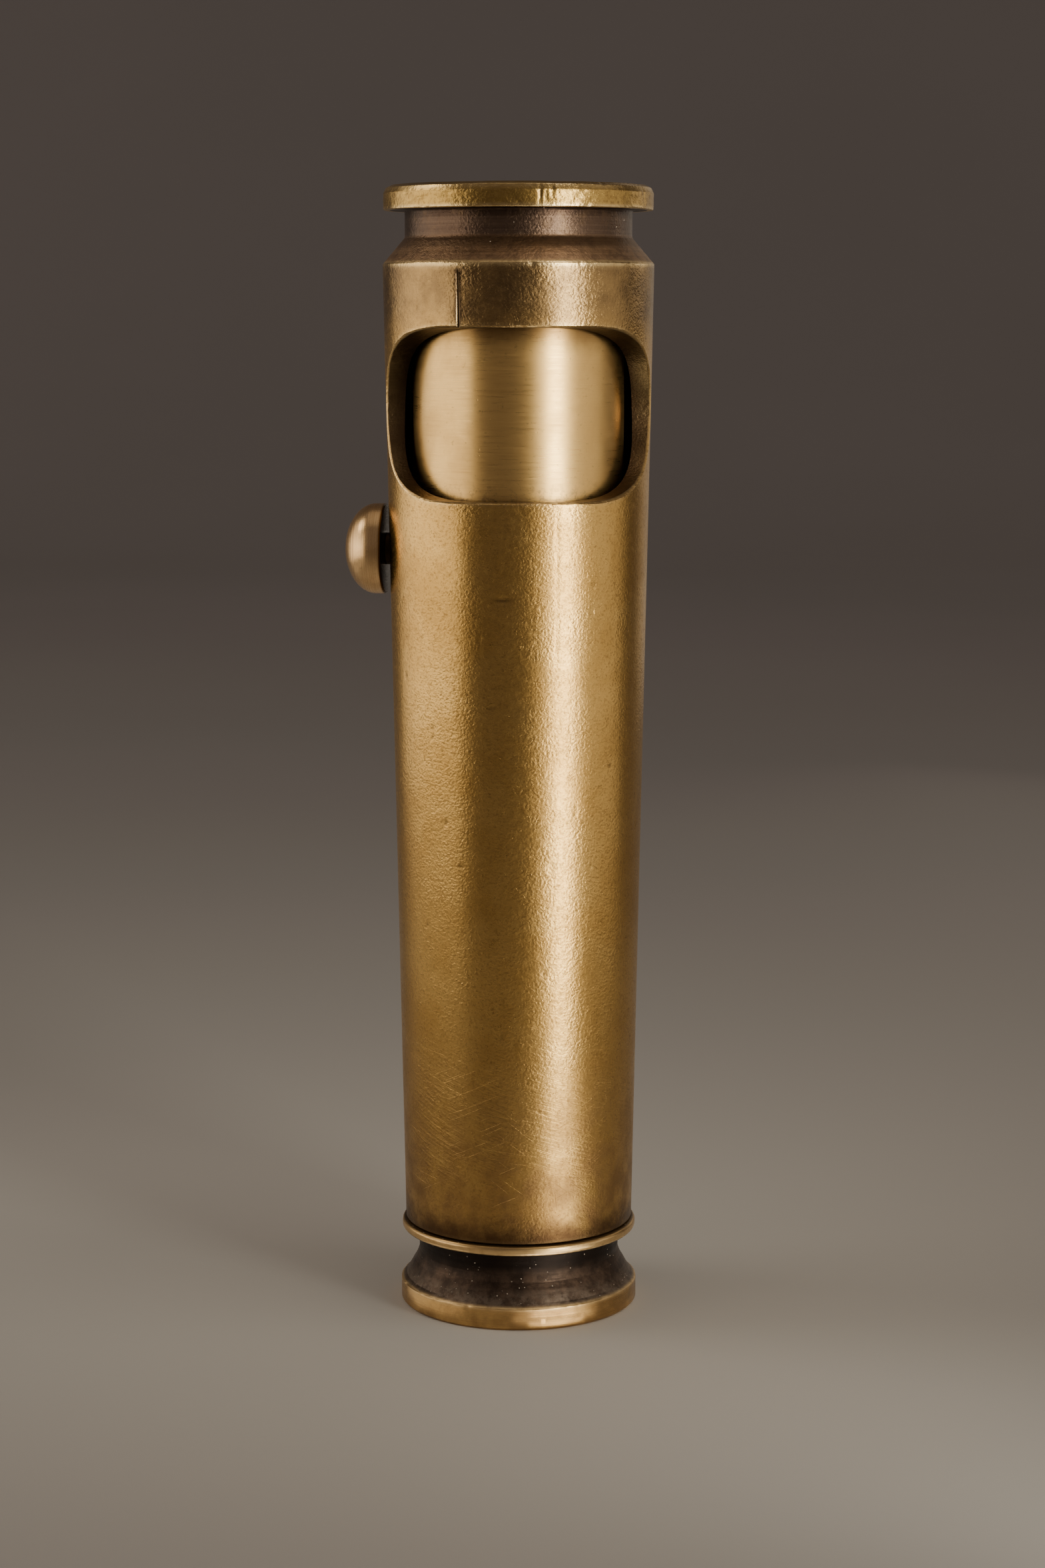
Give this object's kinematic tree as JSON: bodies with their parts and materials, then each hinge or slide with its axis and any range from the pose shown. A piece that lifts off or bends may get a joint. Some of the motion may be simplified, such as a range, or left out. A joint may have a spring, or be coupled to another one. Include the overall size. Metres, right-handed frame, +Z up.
{
  "type": "pocket lighter",
  "caption": "Wick lighter in a tapered brass cartridge case: a side knob turns an inner shutter across the flame window, and the case lifts off the insert.",
  "frame": {"origin": "centre of the foot's flat underside, on the long axis", "axes": "+Z up along the long axis, from foot to rim; -Y is the front, with the window; -X is the side of the knob when the shutter is closed"},
  "size_m": [0.025, 0.0216, 0.0916],
  "materials": {
    "case_brass": "aged cartridge brass, finely pitted, hand polished, brown patina in the groove",
    "primer_brass": "struck primer cup, satin",
    "ring_brass": "turned",
    "sleeve_brass": "brushed round the axis",
    "knob_brass": "turned, satin, slightly pink",
    "bush_brass": "dark, oiled",
    "washer_steel": "spring steel",
    "base_brass": "turned; satin foot and bead, dark patina on the neck",
    "ring_rubber": "matt black",
    "tank_brass": "drawn tube, satin",
    "burner_brass": "turned, lightly heat stained",
    "ferrule_brass": "turned, soot darkened",
    "wick_cotton": "plaited cotton, charred tip",
    "flint_tube_brass": "drawn tube",
    "flint_alloy": "sparking alloy rod, dark grey",
    "pusher_brass": "turned pin",
    "spring_steel": "coiled wire",
    "screw_brass": "slotted",
    "seal_rubber": "flat washer",
    "packing_cotton": "cotton wadding",
    "pad_felt": "pressed felt",
    "bracket_steel": "folded sheet",
    "axle_steel": "domed rivet",
    "wheel_steel": "hardened, toothed"
  },
  "bodies": {
    "insert": {"base_plug": "base_brass", "case_o_ring": "ring_rubber", "tank_tube": "tank_brass", "burner_body": "burner_brass", "wick_ferrule": "ferrule_brass", "wick": "wick_cotton", "flint_tube": "flint_tube_brass", "flint": "flint_alloy", "flint_pusher": "pusher_brass", "flint_spring": "spring_steel", "flint_screw": "screw_brass", "filler_screw": "screw_brass", "filler_seal": "seal_rubber", "tank_packing": "packing_cotton", "felt_pad": "pad_felt", "wheel_bracket": "bracket_steel", "wheel_axle": "axle_steel"},
    "case": {"case_shell": "case_brass", "primer_cup": "primer_brass", "guide_ring": "ring_brass", "spring_washer": "washer_steel"},
    "shutter": {"shutter_sleeve": "sleeve_brass", "shutter_knob": "knob_brass", "knob_bush": "bush_brass"},
    "wheel": {"flint_wheel": "wheel_steel"}
  },
  "joints": [
    {"name": "case_lift", "type": "slide", "parent": "insert", "child": "case", "axis": [0, 0, 1], "range_m": [0, 0.085]},
    {"name": "shutter_turn", "type": "hinge", "parent": "case", "child": "shutter", "pos_m": [0, 0, 0.0626], "axis": [0, 0, -1], "range_deg": [0, 164]},
    {"name": "wheel_spin", "type": "hinge", "parent": "insert", "child": "wheel", "pos_m": [0, -0.0031, 0.0736], "axis": [1, 0, 0], "continuous": true}
  ]
}
